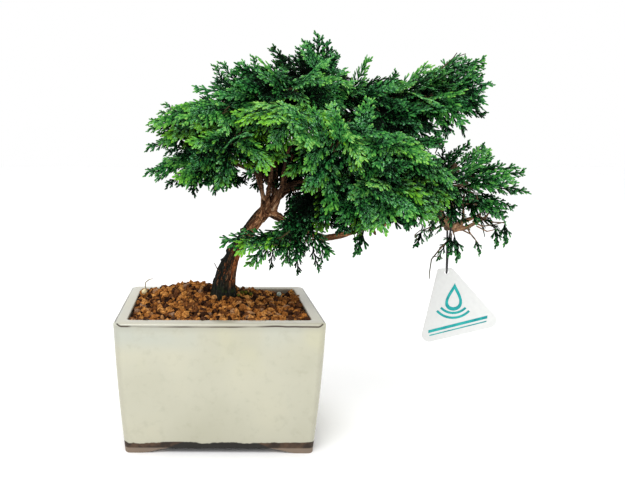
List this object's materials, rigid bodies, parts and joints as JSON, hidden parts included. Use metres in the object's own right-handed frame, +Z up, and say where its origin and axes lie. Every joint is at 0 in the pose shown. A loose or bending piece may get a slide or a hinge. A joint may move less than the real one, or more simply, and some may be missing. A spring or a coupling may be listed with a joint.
{
  "type": "hinoki cypress bonsai in a glazed pot",
  "caption": "Small informal hinoki cypress bonsai with drooping fan-shaped sprays and a long side arm, in a rectangular celadon-glazed pot of clay grains.",
  "frame": {"origin": "middle of the whole plant's outline on the surface that the pot stands on", "axes": "+Z up, -Y towards the front of the pot, +X towards the long drooping arm"},
  "size_m": [0.3233, 0.164, 0.3063],
  "materials": {
    "glaze": "glossy pale celadon glaze over a brown clay foot",
    "clay_grains": "matt fired clay grains",
    "bark": "rough fibrous bark",
    "foliage": "soft satin scale leaves",
    "label_plastic": "satin white sheet",
    "tie_wire": "black coated wire",
    "screen_plastic": "black moulded grid"
  },
  "bodies": {
    "root": {"pot": "glaze", "drain_screen_left": "screen_plastic", "drain_screen_right": "screen_plastic", "soil": "clay_grains", "wood": "bark", "foliage_left_top": "foliage", "foliage_left_shelf": "foliage", "foliage_left_outer": "foliage", "foliage_left_front": "foliage", "foliage_left_low": "foliage", "foliage_left_drop": "foliage", "foliage_apex": "foliage", "foliage_crown_mid": "foliage", "foliage_crown_front": "foliage", "foliage_front_fan": "foliage", "foliage_crown_right": "foliage", "foliage_right_top": "foliage", "foliage_right_tip": "foliage", "foliage_right_under": "foliage", "foliage_right_mid": "foliage", "foliage_front_high": "foliage", "foliage_front_side": "foliage", "foliage_front_low": "foliage", "foliage_inner_front": "foliage", "foliage_cascade_drop": "foliage", "foliage_trunk_spray": "foliage", "foliage_cascade_tip": "foliage", "foliage_far_top": "foliage", "foliage_far_side": "foliage", "foliage_far_inner": "foliage", "foliage_far_low": "foliage", "foliage_back_left": "foliage", "foliage_back_crown": "foliage", "foliage_back_right": "foliage", "foliage_back_low": "foliage", "label": "label_plastic", "label_tie": "tie_wire"}
  },
  "joints": []
}
